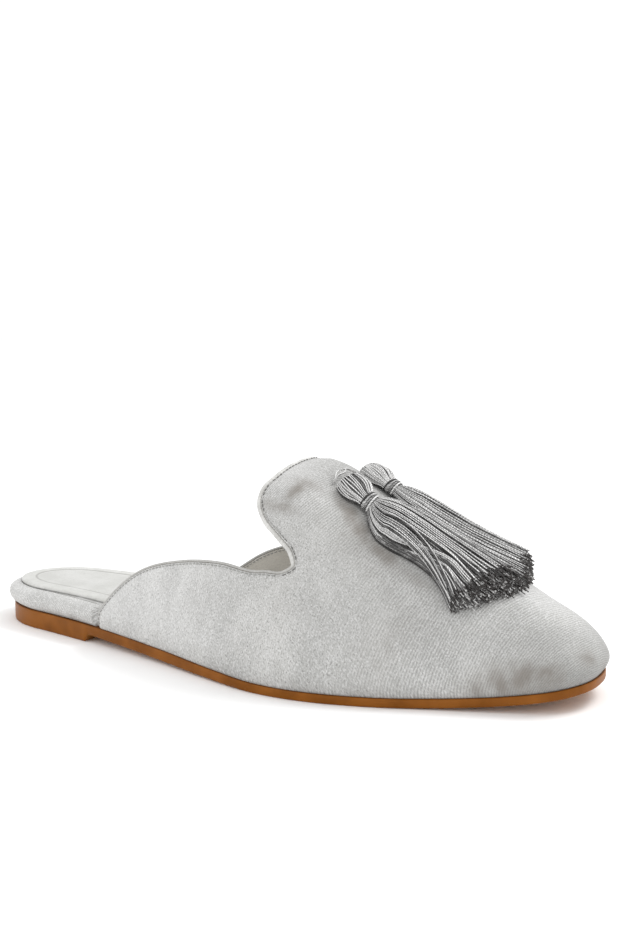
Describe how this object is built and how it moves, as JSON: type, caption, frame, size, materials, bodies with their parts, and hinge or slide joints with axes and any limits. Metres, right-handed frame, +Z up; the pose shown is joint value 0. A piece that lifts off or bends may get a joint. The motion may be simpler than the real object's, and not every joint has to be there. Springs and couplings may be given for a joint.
{
  "type": "velvet mule",
  "caption": "Flat backless slip-on shoe in ribbed velvet with a rounded slipper tongue, satin piping, two thread tassels on the vamp and a thin tan sole with a low heel.",
  "frame": {"origin": "middle of the whole shoe's bounding box, on the floor", "axes": "+X from heel to toe, +Y towards the inner side of the foot, +Z up"},
  "size_m": [0.2612, 0.0908, 0.0768],
  "materials": {
    "velvet": "silver grey ribbed velvet with a crushed nap",
    "satin": "pale satin piping",
    "sock": "pale silver satin with a pressed border",
    "tan_unit": "caramel moulded unit, smooth and slightly glossy",
    "thread": "dark grey thread with a silvery sheen",
    "pale_thread": "pale grey twisted thread"
  },
  "bodies": {
    "root": {"outsole": "tan_unit", "footbed": "velvet", "sock_lining": "sock", "upper": "velvet", "topline_binding": "satin", "tassel_lateral": "thread", "tassel_medial": "thread", "tassel_wrap_lateral": "thread", "tassel_wrap_medial": "thread", "tassel_tie": "pale_thread"}
  },
  "joints": []
}
